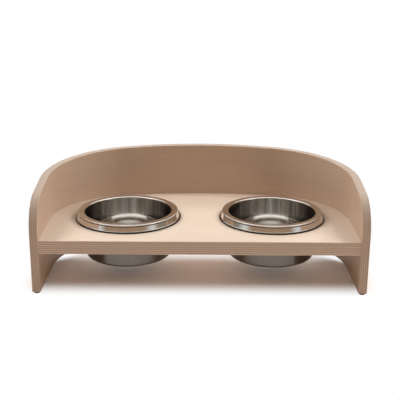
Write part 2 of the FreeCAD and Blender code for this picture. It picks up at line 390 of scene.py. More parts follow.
# %% Plan of the bend
def bend(along, offset):
    """Plan point and outward normal: a shallow arc at the rear, a corner arc, then a straight side.

    along is the distance on the inner face from the rear middle, and offset the distance outwards.
    """
    side = np.where(along < 0, -1.0, 1.0)
    distance = np.abs(along)
    in_rear = distance <= REAR_LENGTH
    in_corner = distance <= REAR_LENGTH + CORNER_LENGTH
    rear_angle = np.pi / 2 - distance / REAR_RADIUS
    corner_angle = np.maximum(BLEND_ANGLE - (distance - REAR_LENGTH) / CORNER_RADIUS, 0.0)
    angle = np.where(in_rear, rear_angle, corner_angle)
    reach = np.where(in_rear, REAR_RADIUS, CORNER_RADIUS) + offset
    centre_x = np.where(in_rear, 0.0, CORNER_X)
    centre_y = np.where(in_rear, REAR_CENTRE_Y, CORNER_Y)
    straight = np.where(in_corner, 0.0, distance - REAR_LENGTH - CORNER_LENGTH)
    x = side * (centre_x + reach * np.cos(angle))
    y = centre_y + reach * np.sin(angle) - straight
    return x, y, side * np.cos(angle), np.sin(angle)


front_x, front_y = bend(np.array([HALF_LENGTH]), WALL_THICKNESS)[:2]
print(f"the blank's front end lands at x = {front_x[0] / MM:.1f} mm and y = {front_y[0] / MM:.1f} mm")

# %% Outline of the flat blank
CROWN_RADIUS = 2700 * MM
FRONT_CORNER_RADIUS = 50 * MM
LEG_LENGTH = 202 * MM
CUTOUT_HEIGHT = 50 * MM
CUTOUT_CORNER_RADIUS = 30 * MM
CUTOUT_HALF = HALF_LENGTH - LEG_LENGTH
TOE_RADIUS = 1.5 * MM
FRONT_TOE_STEPS = 8
LEG_COLUMNS = 74
REAR_TOE_STEPS = 6
CUTOUT_END_COLUMNS = 8
CUTOUT_CORNER_STEPS = 20
CUTOUT_TOP_COLUMNS = 60
FRONT_CORNER_STEPS = 32


def arc(centre, radius, start, end, count):
    """Points of a circular arc between two angles in degrees, without its last point."""
    angles = np.radians(np.linspace(start, end, count, endpoint=False))
    return np.stack([centre[0] + radius * np.cos(angles), centre[1] + radius * np.sin(angles)], axis=1)


def line(start, end, count):
    """Evenly spaced points of a straight run, without its last point."""
    return np.linspace(start, end, count, endpoint=False)


def blank_outline():
    """Lower and upper outline of half the blank, from the front end to the rear middle, point for point.

    Below: a rounded toe, the leg, the cut-out's end, its corner arc and its straight top. Above: the round
    front corner, which touches the crown arc from inside, and then the crown.
    """
    ground = wall_low.z
    front = -HALF_LENGTH
    cut = -CUTOUT_HALF
    cut_corner = (cut + CUTOUT_CORNER_RADIUS, CUTOUT_HEIGHT - CUTOUT_CORNER_RADIUS)
    below = [
        arc((front + TOE_RADIUS, ground + TOE_RADIUS), TOE_RADIUS, 180, 270, FRONT_TOE_STEPS),
        line((front + TOE_RADIUS, ground), (cut - TOE_RADIUS, ground), LEG_COLUMNS),
        arc((cut - TOE_RADIUS, ground + TOE_RADIUS), TOE_RADIUS, -90, 0, REAR_TOE_STEPS),
        line((cut, ground + TOE_RADIUS), (cut, cut_corner[1]), CUTOUT_END_COLUMNS),
        arc(cut_corner, CUTOUT_CORNER_RADIUS, 180, 90, CUTOUT_CORNER_STEPS),
        line((cut_corner[0], CUTOUT_HEIGHT), (0, CUTOUT_HEIGHT), CUTOUT_TOP_COLUMNS),
    ]
    lower = np.concatenate(below)
    crown_centre = wall_high.z - CROWN_RADIUS
    inset = HALF_LENGTH - FRONT_CORNER_RADIUS
    rise = math.sqrt((CROWN_RADIUS - FRONT_CORNER_RADIUS) ** 2 - inset ** 2)
    corner = (front + FRONT_CORNER_RADIUS, crown_centre + rise)
    touch = math.degrees(math.atan2(rise, -inset))
    round_corner = arc(corner, FRONT_CORNER_RADIUS, 180, touch, FRONT_CORNER_STEPS)
    touch_along = corner[0] + FRONT_CORNER_RADIUS * math.cos(math.radians(touch))
    crown_along = np.linspace(touch_along, 0, len(lower) - len(round_corner), endpoint=False)
    crown = np.stack([crown_along, crown_centre + np.sqrt(CROWN_RADIUS ** 2 - crown_along ** 2)], axis=1)
    return lower, np.concatenate([round_corner, crown])


lower_half, upper_half = blank_outline()
MIRROR = np.array([-1.0, 1.0])
middle_low = np.array([[0.0, CUTOUT_HEIGHT]])
middle_high = np.array([[0.0, wall_high.z]])
lower_line = np.concatenate([lower_half, middle_low, lower_half[::-1] * MIRROR])
upper_line = np.concatenate([upper_half, middle_high, upper_half[::-1] * MIRROR])
print(f"blank: {len(lower_line)} columns, {2 * HALF_LENGTH / MM:.0f} mm long on its inner face")

# %% The wall's surface
EDGE_RADIUS = 1.0 * MM
RULING_ROWS = 36
ROUND_STEPS = 5
FLAT_STEPS = 6


def outline_normals(loop):
    """Inward mitre normals of a closed loop that runs anticlockwise: the mean of its two sides' normals."""
    ahead = np.roll(loop, -1, axis=0) - loop
    ahead /= np.linalg.norm(ahead, axis=1, keepdims=True)
    side = np.stack([-ahead[:, 1], ahead[:, 0]], axis=1)
    before = np.roll(side, 1, axis=0)
    return (side + before) / (1 + np.sum(side * before, axis=1, keepdims=True))


def edge_profile():
    """Inset, offset and normal of the rounded edge: a quarter round, a flat and another quarter round."""
    turn = np.linspace(0, np.pi / 2, ROUND_STEPS + 1)
    inset = EDGE_RADIUS * (1 - np.sin(turn))
    offset = EDGE_RADIUS * (1 - np.cos(turn))
    flat = np.linspace(EDGE_RADIUS, WALL_THICKNESS - EDGE_RADIUS, FLAT_STEPS + 1)[1:-1]
    insets = np.concatenate([inset, np.zeros_like(flat), inset[::-1]])
    offsets = np.concatenate([offset, flat, WALL_THICKNESS - offset[::-1]])
    outline_part = np.concatenate([np.sin(turn), np.ones_like(flat), np.sin(turn)[::-1]])
    depth_part = np.concatenate([-np.cos(turn), np.zeros_like(flat), np.cos(turn)[::-1]])
    return insets, offsets, outline_part, depth_part


def bent(blank, offset, blank_normal, depth_part):
    """Points, normals and own places of blank places after bending; offset is the depth in the board."""
    x, y, out_x, out_y = bend(blank[:, 0], offset)
    points = np.stack([x, y, blank[:, 1]], axis=1)
    normals = np.stack([
        depth_part * out_x + blank_normal[:, 0] * out_y,
        depth_part * out_y - blank_normal[:, 0] * out_x,
        blank_normal[:, 1],
    ], axis=1)
    place = np.stack([blank[:, 0], blank[:, 1], np.full(len(blank), offset)], axis=1)
    return points, normals, place


def make_wall():
    """Two ruled faces and the rounded band round them, as one closed skin.

    A ruling goes straight from the lower to the upper outline, and the band carries the edge's profile
    along the closed outline.
    """
    columns = len(lower_line)
    share = np.linspace(0, 1, RULING_ROWS)[None, :, None]
    index = np.arange(columns * RULING_ROWS).reshape(columns, RULING_ROWS)
    around = np.concatenate([index[:-1, 0], index[-1, :-1], index[:0:-1, -1], index[0, :0:-1]])
    ruled = ((1 - share) * lower_line[:, None] + share * upper_line[:, None]).reshape(-1, 2)
    loop = ruled[around]
    inward = outline_normals(loop)
    column_of = around // RULING_ROWS
    on_low = around % RULING_ROWS == 0
    on_high = around % RULING_ROWS == RULING_ROWS - 1
    low_in = lower_line.copy()
    high_in = upper_line.copy()
    low_in[column_of[on_low]] += EDGE_RADIUS * inward[on_low]
    high_in[column_of[on_high]] += EDGE_RADIUS * inward[on_high]
    panel = ((1 - share) * low_in[:, None] + share * high_in[:, None]).reshape(-1, 2)
    profile = np.stack(edge_profile(), axis=1)[1:-1]
    flat_normal = np.zeros_like(panel)
    parts = [bent(panel, 0.0, flat_normal, -1.0), bent(panel, WALL_THICKNESS, flat_normal, 1.0)]
    for inset, offset, outward, deep in profile:
        parts.append(bent(loop + inset * inward, offset, -outward * inward, deep))
    points, normals, place = (np.concatenate(arrays) for arrays in zip(*parts))
    normals /= np.linalg.norm(normals, axis=1, keepdims=True)
    rings = 2 * len(panel) + np.arange(len(profile) * len(loop)).reshape(-1, len(loop)).T
    band = np.column_stack([around, rings, around + len(panel)])
    faces = np.concatenate([
        grid_faces(index),
        grid_faces(index + len(panel))[:, ::-1],
        grid_faces(band, close_rows=True)[:, ::-1],
    ])
    return points, normals, faces.tolist(), place


wall = new_piece("moulded_wall", *make_wall(), wall_wood)
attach(wall, "stand")
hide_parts("curved_wall")

# %% [markdown]
# ## The shelf
#
# The shelf is a flat board, cut to the inside of the wall, with two round holes and a slightly eased
# front edge. Its CAD shape is already right, so it stays and only gets its plywood. The dowels that
# carry it are hidden in the wood, and get plain beech.

# %% Dress the shelf and the hidden dowels
DOWEL_ROUGHNESS = 0.6


def dress(node, material):
    """Gives a CAD node one material in all its slots."""
    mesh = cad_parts[node].data
    mesh.materials.clear()
    mesh.materials.append(material)


def dowel_material():
    """Plain beech for the dowels: the veneer figure alone, on object coordinates."""
    material, tree, shader = new_material("dowel_beech")
    figure = add(tree, "ShaderNodeGroup", {"Place": object_place(tree)}, node_tree=VENEER).outputs
    share = remap(tree, figure["Tone"], *TONE_RANGE)
    wood = blend_colors(tree, share, SHELF_WOOD["Light"], SHELF_WOOD["Dark"])
    tree.links.new(wood, shader.inputs["Base Color"])
    shader.inputs["Roughness"].default_value = DOWEL_ROUGHNESS
    return material


dress("bowl_shelf", shelf_wood)
dowel_wood = dowel_material()
for dowels in ("left_shelf_dowels", "right_shelf_dowels", "rear_shelf_dowels"):
    dress(dowels, dowel_wood)
print("dressed the shelf and the dowels:", shelf_wood.name, dowel_wood.name)

# %% [markdown]
# ## Steel bowls
#
# Each bowl is drawn from one disc of sheet steel: a flat base, a nearly straight wall, a broad flat rim, a
# bead with a narrow groove under it, a flared skirt and a small lip that sits on the ring. The section is
# a bent line with a thickness. It could be spun from a curve, but worked out as lines and true arcs it
# gives exact normals, which keeps the reflections clean.

# %% Section of a bent sheet
def bent_line(points, radii, steps):
    """Points and left-hand normals of a line whose inner corners are rounded by tangent arcs."""
    corners = np.array(points, dtype=float)
    ahead = np.diff(corners, axis=0)
    ahead /= np.linalg.norm(ahead, axis=1, keepdims=True)
    left = np.stack([-ahead[:, 1], ahead[:, 0]], axis=1)
    path = [corners[:1]]
    normals = [left[:1]]
    for corner, into, out, first, radius in zip(corners[1:-1], ahead[:-1], ahead[1:], left[:-1], radii):
        turn = math.atan2(into[0] * out[1] - into[1] * out[0], into @ out)
        centre = corner - into * radius * math.tan(abs(turn) / 2) + first * radius * np.sign(turn)
        angles = np.linspace(0, turn, steps + 1)[:, None]
        spoke = first * np.cos(angles) - into * np.sin(angles)
        path.append(centre - spoke * radius * np.sign(turn))
        normals.append(spoke)
    path.append(corners[-1:])
    normals.append(left[-1:])
    return np.concatenate(path), np.concatenate(normals)


def sheet_section(points, radii, thickness, steps):
    """Section of a sheet: the line pushed to its left, a round end, and the line pushed to its right."""
    middle, left = bent_line(points, radii, steps)
    half = thickness / 2
    ahead = np.array([left[-1, 1], -left[-1, 0]])
    angles = np.linspace(np.pi / 2, -np.pi / 2, steps + 1)[1:-1, None]
    end = np.cos(angles) * ahead + np.sin(angles) * left[-1]
    section = np.concatenate([middle + half * left, middle[-1] + half * end, (middle - half * left)[::-1]])
    return section, np.concatenate([left, end, -left[::-1]])


quarter = bent_line([(0, 0), (2, 0), (2, 2)], [1.0], 48)[0][1:-1]
print(f"a quarter bend of radius 1 is {np.linalg.norm(np.diff(quarter, axis=0), axis=1).sum():.3f} long")

# %% Turning a section round an axis
def turned(section, section_normals, centre, segments, closed):
    """Surface of revolution of a section that ends on the axis at both ends, or closes on itself.

    A point at radius r and angle a lies at (r cos a, r sin a), and its normal, on the left of the section,
    turns with it. The material gets the cosine and sine of the angle and the length along the section.
    """
    angles = np.linspace(0, 2 * np.pi, segments, endpoint=False)[:, None]
    radius, height = section.T
    outwards, upwards = section_normals.T
    length = np.concatenate([[0], np.cumsum(np.linalg.norm(np.diff(section, axis=0), axis=1))])
    cos, sin = np.cos(angles), np.sin(angles)
    round_all = np.ones_like(angles)
    along_all = np.ones_like(radius)
    points = np.stack([centre[0] + cos * radius, centre[1] + sin * radius, round_all * height], axis=-1)
    normals = np.stack([cos * outwards, sin * outwards, round_all * upwards], axis=-1)
    place = np.stack([cos * along_all, sin * along_all, round_all * length], axis=-1)
    index = np.arange(segments * len(section)).reshape(segments, len(section))
    points, normals, place = (grid.reshape(-1, 3) for grid in (points, normals, place))
    if closed:
        faces = grid_faces(np.column_stack([index, index[:, :1]]), close_rows=True)[:, ::-1]
        return points, normals, faces.tolist(), place
    index[:, 0] = index[0, 0]
    index[:, -1] = index[0, -1]
    after = np.roll(index, -1, axis=0)
    start = np.column_stack([index[:, 0], index[:, 1], after[:, 1]])
    finish = np.column_stack([index[:, -1], after[:, -2], index[:, -2]])
    used = np.unique(index)
    number = np.zeros(index.max() + 1, dtype=int)
    number[used] = np.arange(len(used))
    quads = number[grid_faces(index[:, 1:-1], close_rows=True)[:, ::-1]].tolist()
    fans = number[np.concatenate([start, finish])].tolist()
    return points[used], normals[used], quads + fans, place[used]


cone = turned(np.array([[0, 1], [1, 0], [0, 0]]), np.array([[1, 1], [1, -1], [0, -1]]), (0, 0), 12, False)
print("a cone of 12 segments has", len(cone[0]), "points and", len(cone[2]), "faces")

# %% Sizes of a bowl
SHEET = 0.9 * MM
BOWL_INNER_RADIUS = 66 * MM
BOWL_TAPER = 1.2 * MM
BASE_BEND = 4.0 * MM
RIM_WIDTH = 10 * MM
RIM_FALL = 0.05 * MM
RIM_BEND = 1.3 * MM
RIM_EDGE_BEND = 0.15 * MM
BEAD_HEIGHT = 1.2 * MM
GROOVE_DEPTH = 0.9 * MM
GROOVE_HEIGHT = 0.9 * MM
GROOVE_BEND = 0.1 * MM
SKIRT_FLARE = 2.2 * MM
FOOT_BEND = 0.4 * MM
BEND_STEPS = 12


def bowl_section(node):
    """Section of a bowl: the middle line of its sheet from the base to the lip, with a thickness."""
    low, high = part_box(node)
    half = SHEET / 2
    lip = (high.x - low.x) / 2
    ring_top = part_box(node + "_ring")[1].z
    rim = BOWL_INNER_RADIUS + RIM_WIDTH - half
    rim_z = high.z - half
    groove_z = rim_z - BEAD_HEIGHT
    points = [
        (0, low.z + half),
        (BOWL_INNER_RADIUS - BOWL_TAPER + half, low.z + half),
        (BOWL_INNER_RADIUS + half, rim_z),
        (rim, rim_z - RIM_FALL),
        (rim, groove_z),
        (rim - GROOVE_DEPTH, groove_z - GROOVE_HEIGHT),
        (rim + SKIRT_FLARE, ring_top + half),
        (lip - half, ring_top + half),
    ]
    bends = [BASE_BEND, RIM_BEND, RIM_EDGE_BEND, GROOVE_BEND, GROOVE_BEND, FOOT_BEND]
    return sheet_section(points, [bend_radius + half for bend_radius in bends], SHEET, BEND_STEPS)


def bend_length(section, number):
    """Length along the section to the middle of a bend, counted from the axis."""
    steps = np.linalg.norm(np.diff(section, axis=0), axis=1)
    return steps[:1 + number * (BEND_STEPS + 1) + BEND_STEPS // 2].sum()


left_section = bowl_section("left_bowl")[0]
WALL_START = bend_length(left_section, 0)
WALL_END = bend_length(left_section, 1)
GROOVE_LENGTH = bend_length(left_section, 4)
LIP_LENGTH = bend_length(left_section, 5)
print(f"section: wall from {WALL_START / MM:.1f} to {WALL_END / MM:.1f} mm, lip at {LIP_LENGTH / MM:.1f} mm")

# %% [markdown]
# ## The steel's finish
#
# The bowls are polished, but not all over: the upper wall is brushed in upright bands, a disc in the middle
# of the base is satin, and so is the outside. The bands are painted reflections: light and dark upright
# stripes in the steel's colour. The groove under the bead is painted dark as shade, and the outside's colour
# is painted far darker than steel, a painted shade that stands in for the dark surroundings it mirrors. The
# fine lines that turning leaves stretch each reflection across them. All of it could be painted by hand,
# but the length along the section, which each vertex keeps, already says where a point lies, so a few masks
# on that length do the work.

# %% Steel
POLISHED_STEEL = ((0.75, 0.735, 0.71, 1.0), (0.80, 0.785, 0.76, 1.0))
# Painted shade: the outside's satin steel is darkened far below steel's own colour.
SATIN_STEEL_PAINTED_DARK = ((0.185, 0.164, 0.142, 1.0), (0.225, 0.199, 0.173, 1.0))
# Painted reflection: the brushed wall's colour swings between dark and light in upright bands.
BRUSHED_STEEL_PAINTED_BANDS = ((0.24, 0.23, 0.21, 1.0), (0.78, 0.76, 0.725, 1.0))
# Painted shade: the groove under the bead is darkened in the steel's colour.
GROOVE_SHADE = (0.05, 0.04, 0.03, 1.0)
STREAK_STRETCH = 2.0
STREAK_SCALE = 22.0
TURNED_LINES = 3000.0
STEEL_TONES = (0.35, 0.65)
BAND_SCALE = 8.0
BAND_TONES = (0.36, 0.66)
BRUSHED_SHARE = 0.9
BRUSHED_FROM = (WALL_START + 38 * MM, WALL_START + 44 * MM)
BRUSHED_TO = (WALL_END - 2 * MM, WALL_END)
BACK_FROM = (LIP_LENGTH + 0.5 * MM, LIP_LENGTH + 0.8 * MM)
GROOVE_MIDDLE = GROOVE_LENGTH - 0.35 * MM
GROOVE_REACH = (0.8 * MM, 1.3 * MM)
GROOVE_SHARE = 0.9
BASE_DISC = (31 * MM, 34 * MM)
POLISH_ROUGHNESS = (0.03, 0.05)
DISC_ROUGHNESS = 0.4
BRUSHED_ROUGHNESS = 0.16
BACK_ROUGHNESS = 0.25
STEEL_ANISOTROPY = 0.95
QUARTER_TURN = 0.25


def steel_material():
    """Sheet steel: one tone of streaks and turned lines, and masks on the length along the section.

    The masks mark the brushed upper wall, the groove, the disc in the base and the outside, and each adds
    its own colour or roughness to the polish. The colours they add are painted light and shade: reflection
    bands on the brushed wall, shade in the groove and a darkened outside.
    """
    material, tree, shader = new_material("bowl_steel")
    cosine, sine, length = parts_of(tree, own_place(tree))
    streak_place = vector(tree, cosine, sine, calc(tree, "MULTIPLY", length, STREAK_STRETCH))
    line_place = vector(tree, cosine, sine, calc(tree, "MULTIPLY", length, TURNED_LINES))
    streaks = noise(tree, streak_place, STREAK_SCALE)
    lines = noise(tree, line_place, 1.0, detail=3.0)
    tone = remap(tree, weighted(tree, (streaks, 0.5), (lines, 0.5)), *STEEL_TONES)
    bands = noise(tree, vector(tree, cosine, sine, 0.0), BAND_SCALE, detail=5.0, roughness=0.65)
    below_rim = remap(tree, length, *BRUSHED_TO, 1.0, 0.0)
    brushed = calc(tree, "MULTIPLY", below_rim, remap(tree, length, *BRUSHED_FROM))
    on_back = remap(tree, length, *BACK_FROM)
    on_disc = remap(tree, length, *BASE_DISC, 1.0, 0.0)
    from_groove = calc(tree, "ABSOLUTE", calc(tree, "SUBTRACT", length, GROOVE_MIDDLE))
    in_groove = remap(tree, from_groove, *GROOVE_REACH, GROOVE_SHARE, 0.0)
    color = blend_colors(tree, tone, *POLISHED_STEEL)
    # Painted reflection bands in the colour of the brushed upper wall.
    painted_bands = blend_colors(tree, remap(tree, bands, *BAND_TONES), *BRUSHED_STEEL_PAINTED_BANDS)
    color = blend_colors(tree, calc(tree, "MULTIPLY", brushed, BRUSHED_SHARE), color, painted_bands)
    # Painted shade: the satin outside gets a darkened steel colour.
    color = blend_colors(tree, on_back, color, blend_colors(tree, tone, *SATIN_STEEL_PAINTED_DARK))
    # Painted shade in the groove under the bead.
    color = blend_colors(tree, in_groove, color, GROOVE_SHADE)
    polish = remap(tree, tone, 0.0, 1.0, *POLISH_ROUGHNESS)
    added = weighted(
        tree, (on_disc, DISC_ROUGHNESS), (brushed, BRUSHED_ROUGHNESS), (on_back, BACK_ROUGHNESS)
    )
    rough = calc(tree, "ADD", polish, added)
    tree.links.new(color, shader.inputs["Base Color"])
    tree.links.new(rough, shader.inputs["Roughness"])
    shader.inputs["Anisotropic"].default_value = STEEL_ANISOTROPY
    shader.inputs["Anisotropic Rotation"].default_value = QUARTER_TURN
    shader.inputs["Metallic"].default_value = 1.0
    return material


bowl_steel = steel_material()
print("material:", bowl_steel.name, "with", len(bowl_steel.node_tree.nodes), "nodes")

# %% Bowls
BOWL_SEGMENTS = 192


def make_bowl(node):
    """The bowl's section, turned round its axis."""
    low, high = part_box(node)
    return turned(*bowl_section(node), (low + high) / 2, BOWL_SEGMENTS, closed=False)


for side in ("left", "right"):
    bowl = new_piece(side + "_steel_bowl", *make_bowl(side + "_bowl"), bowl_steel)
    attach(bowl, side + "_bowl")
    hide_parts(side + "_bowl")

# %% [markdown]
# ## Rubber rings and feet
#
# Under each bowl lies a black ring: a thin flange on the shelf, with a lip that lines the hole. Small round
# feet keep the wall's cut edge off the floor. Both could be rings and discs from the menu, but moulded
# rubber has no sharp edge, so they are turned from sections with softened corners.

# %% Rubber
MOTTLE_SCALE = 180.0
GRAIN_SCALE = 2600.0
MOTTLE_SHARE = 0.6
GRAIN_SHARE = 0.4
RUBBER_ROUGHNESS_PLAY = 0.1
RUBBER_BUMP = 0.3
RUBBER_RELIEF = 0.03 * MM
RUBBER_SPECULAR = 0.05


def rubber_material(name, dark, pale, roughness):
    """Matt rubber: a dull mottled black with a fine grain."""
    material, tree, shader = new_material(name)
    place = object_place(tree)
    mottle = noise(tree, place, MOTTLE_SCALE, detail=3.0)
    grain = noise(tree, place, GRAIN_SCALE)
    tone = remap(tree, weighted(tree, (mottle, MOTTLE_SHARE), (grain, GRAIN_SHARE)), *TONE_RANGE)
    smooth, dull = roughness - RUBBER_ROUGHNESS_PLAY, roughness + RUBBER_ROUGHNESS_PLAY
    relief = {"Height": grain, "Strength": RUBBER_BUMP, "Distance": RUBBER_RELIEF}
    tree.links.new(blend_colors(tree, tone, dark, pale), shader.inputs["Base Color"])
    tree.links.new(remap(tree, tone, 0.0, 1.0, smooth, dull), shader.inputs["Roughness"])
    tree.links.new(add(tree, "ShaderNodeBump", relief).outputs[0], shader.inputs["Normal"])
    shader.inputs["Specular IOR Level"].default_value = RUBBER_SPECULAR
    return material


ring_rubber = rubber_material("black_rubber", (0.011, 0.007, 0.005, 1.0), (0.026, 0.018, 0.013, 1.0), 0.75)
foot_rubber = rubber_material("foot_rubber", (0.05, 0.04, 0.032, 1.0), (0.11, 0.09, 0.075, 1.0), 0.7)
print("materials:", ring_rubber.name, foot_rubber.name)

# %% Rings
RING_PLAY = 2 * MM
RING_INNER_RADIUS = BOWL_INNER_RADIUS + SHEET + RING_PLAY
RING_LIP = 1.5 * MM
RING_FLANGE = 1.4 * MM
RING_CORNER = 0.4 * MM
RING_CORNER_STEPS = 5
RING_SEGMENTS = 160


def closed_section(corners, radius, steps):
    """Closed section with rounded corners: the rounded line through all corners, from one side's middle."""
    first = (np.array(corners[0]) + np.array(corners[-1])) / 2
    points, normals = bent_line([first, *corners, first], [radius] * len(corners), steps)
    return points[:-1], normals[:-1]


def make_ring(node):
    """Flange and lip of the ring as one six-sided section, turned round the bowl's axis."""
    low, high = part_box(node)
    centre = (low + high) / 2
    outer = high.x - centre.x
    inner = RING_INNER_RADIUS
    in_hole = inner + RING_LIP - GLUE_LINE
    shelf_z = high.z - RING_FLANGE
    corners = [
        (outer, high.z), (outer, shelf_z), (in_hole, shelf_z),
        (in_hole, low.z), (inner, low.z), (inner, high.z),
    ]
    section, normals = closed_section(corners, RING_CORNER, RING_CORNER_STEPS)
    return turned(section, normals, centre, RING_SEGMENTS, closed=True)


for side in ("left", "right"):
    ring = new_piece(side + "_rubber_ring", *make_ring(side + "_bowl_ring"), ring_rubber)
    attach(ring, "stand")
    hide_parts(side + "_bowl_ring")

# %% Feet
FOOT_CORNER = 0.35 * MM
FOOT_CORNER_STEPS = 6
FOOT_SEGMENTS = 48


def make_foot(node):
    """Low round pad: a section from the axis above to the axis below, turned once."""
    low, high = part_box(node)
    centre = (low + high) / 2
    radius = high.x - centre.x
    corners = [(0, high.z), (radius, high.z), (radius, low.z), (0, low.z)]
    section, normals = bent_line(corners, [FOOT_CORNER] * 2, FOOT_CORNER_STEPS)
    return turned(section, normals, centre, FOOT_SEGMENTS, closed=False)


for node in ("front_left_foot", "front_right_foot", "rear_left_foot", "rear_right_foot"):
    foot = new_piece(node + "_pad", *make_foot(node), foot_rubber)
    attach(foot, "stand")
    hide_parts(node)

# %% [markdown]
# ## Floor
#
# The object stands on white paper. A floor can be lit until it is white, but that much light would bleach
# the object too. So this floor is a warm white sheet close to the object, where it takes the shadow, and
# fades to an even white further away for the camera and for reflections. Its warm tint is painted light: it
# stands in for the warm light that the wood bounces into the shadow. Inside the shaded patch a small share
# of white glows too, a painted light that lifts the shadow. The shaded patch is a rounded box that grows
# narrower behind the object, so painted white light lies on the floor under the shelf at its rear corners.

# %% Floor
FLOOR_HALF = 4.0
# Painted warm light: the tint stands in for the light that the wood bounces into the floor's shadow.
FLOOR_COLOR = (0.96, 0.83, 0.73, 1.0)
FLOOR_ROUGHNESS = 0.9
WHITE = (1.0, 1.0, 1.0, 1.0)
SHADE_MIDDLE = (0.0, -40 * MM, 0.0)
SHADE_HALF = (wall_high.x - 8 * MM, 36 * MM, 0.0)
SHADE_STRETCH = (1.6, 1.0, 0.0)
SHADE_FADE = 57 * MM
SHADE_NARROWS_Y = -12 * MM
# Painted light: where the patch narrows behind the object, white glows on the floor under the shelf at its
# rear corners.
SHADE_NARROWING = 1.2
# Painted light: this share of white glows inside the shaded patch and lifts the shadow.
SHADE_PALE = 0.05


def seen_rays(tree):
    """1 for rays from the camera, a mirror or glass, and 0 for the rays that carry light."""
    path = add(tree, "ShaderNodeLightPath").outputs
    seen = calc(tree, "MAXIMUM", path["Is Camera Ray"], path["Is Glossy Ray"])
    return calc(tree, "MAXIMUM", seen, path["Is Transmission Ray"])


def floor_material():
    """Floor that mixes from its own colour to plain white by the distance outside the shaded patch.

    The distance is the length of what is left of a place, taken from the patch's middle, after the half
    sizes of the patch are taken off. Where the patch narrows behind the object, the white is painted light
    on the floor under the shelf, and the small share of white inside the patch is painted light that lifts
    the shadow.
    """
    material, tree, shader = new_material("white_floor")
    place = object_place(tree)
    # The narrowing behind the object paints white light on the floor at the shelf's rear corners.
    behind = calc(tree, "SUBTRACT", parts_of(tree, place)[1], SHADE_NARROWS_Y)
    narrower = calc(tree, "MULTIPLY", calc(tree, "MAXIMUM", behind, 0.0), SHADE_NARROWING)
    past = vector_calc(tree, "ABSOLUTE", vector_calc(tree, "SUBTRACT", place, SHADE_MIDDLE))
    past = vector_calc(tree, "ADD", past, vector(tree, narrower, 0.0, 0.0))
    past = vector_calc(tree, "SUBTRACT", past, SHADE_HALF)
    past = vector_calc(tree, "MAXIMUM", past, (0.0, 0.0, 0.0))
    past = vector_calc(tree, "MULTIPLY", past, SHADE_STRETCH)
    away = add(tree, "ShaderNodeVectorMath", {0: past}, operation="LENGTH").outputs["Value"]
    # Share of white: the even backdrop far away, and painted light inside the patch and under the rear of
    # the shelf.
    backdrop_and_painted_light = remap(tree, away, 0.0, SHADE_FADE, SHADE_PALE, 1.0, interpolation="SMOOTHSTEP")
    shader.inputs["Base Color"].default_value = FLOOR_COLOR
    shader.inputs["Roughness"].default_value = FLOOR_ROUGHNESS
    shader.inputs["Specular IOR Level"].default_value = 0.0
    white = add(tree, "ShaderNodeEmission", {"Color": WHITE, "Strength": 1.0})
    share = calc(tree, "MULTIPLY", backdrop_and_painted_light, seen_rays(tree))
    mix = add(tree, "ShaderNodeMixShader", {0: share, 1: shader.outputs[0], 2: white.outputs[0]})
    tree.links.new(mix.outputs[0], tree.nodes["Material Output"].inputs["Surface"])
    return material


def stage_piece(name, points, faces, material):
    """Piece of the stage, which isn't part of the object."""
    mesh = bpy.data.meshes.new(name)
    mesh.from_pydata(points, [], faces)
    mesh.materials.append(material)
    piece = new_object(name, mesh)
    return piece


def level_square(half, z):
    """Corners of a level square round the Z axis, anticlockwise seen from above."""
    return [(-half, -half, z), (half, -half, z), (half, half, z), (-half, half, z)]


floor = stage_piece("floor", level_square(FLOOR_HALF, 0.0), [(0, 1, 2, 3)], floor_material())
print("floor:", 2 * FLOOR_HALF, "m wide")

# %% [markdown]
# ## What the steel mirrors
#
# Polished steel shows the room more than itself. Lamps would show in it as hard spots, so they are hidden
# from reflections, and two glowing sheets are mirrored instead: a wide curved one in front, a dim room with
# two soft windows, and a ceiling that is lit above and behind the object. The camera looks through both.

# %% Room and ceiling
ROOM_DARK = (0.05, 0.04, 0.03, 1.0)
ROOM_GREY = (0.26, 0.225, 0.185, 1.0)
ROOM_TAN = (0.37, 0.24, 0.15, 1.0)
FRONT_LIGHT = (0.52, 0.48, 0.42, 1.0)
FRONT_HALF = 45.0
WINDOW_LIGHT = (0.74, 0.735, 0.73, 1.0)
WINDOWS = (-66.0, 58.0)
WINDOW_HALF = 20.0
DARK_TO_GREY = (0.35, 0.55)
GREY_TO_TAN = (0.84, 1.0)
ROOM_GLOW = 0.9
ROOM_ROUGHNESS = 1.0
ROOM_RADIUS = 2.2
ROOM_HEIGHT = 3.0
ROOM_HALF_TURN = 130.0
ROOM_COLUMNS = 53
CEILING_HALF = 2.2
CEILING_Z = 2.2
CEILING_LIGHT = (1.55, 1.53, 1.49, 1.0)
CEILING_LIT_FROM = (-0.9, -0.5)
CEILING_ROUGHNESS = 0.5


def soft_patch(tree, turn, middle, half):
    """Share that is 1 at one direction of the room and falls softly to 0 at half the patch's width."""
    away = calc(tree, "ABSOLUTE", calc(tree, "SUBTRACT", turn, math.radians(middle)))
    return remap(tree, away, math.radians(half), 0.0, interpolation="SMOOTHSTEP")


def room_glow(tree):
    """Room that is dark low down, then grey with a paler front, then tan, with two upright windows."""
    x, y, z = parts_of(tree, object_place(tree))
    turn = calc(tree, "ARCTAN2", x, calc(tree, "MULTIPLY", y, -1.0))
    glow = blend_colors(tree, soft_patch(tree, turn, 0.0, FRONT_HALF), ROOM_GREY, FRONT_LIGHT)
    glow = blend_colors(tree, remap(tree, z, *DARK_TO_GREY), ROOM_DARK, glow)
    glow = blend_colors(tree, remap(tree, z, *GREY_TO_TAN), glow, ROOM_TAN)
    for window in WINDOWS:
        glow = blend_colors(tree, soft_patch(tree, turn, window, WINDOW_HALF), glow, WINDOW_LIGHT)
    return glow


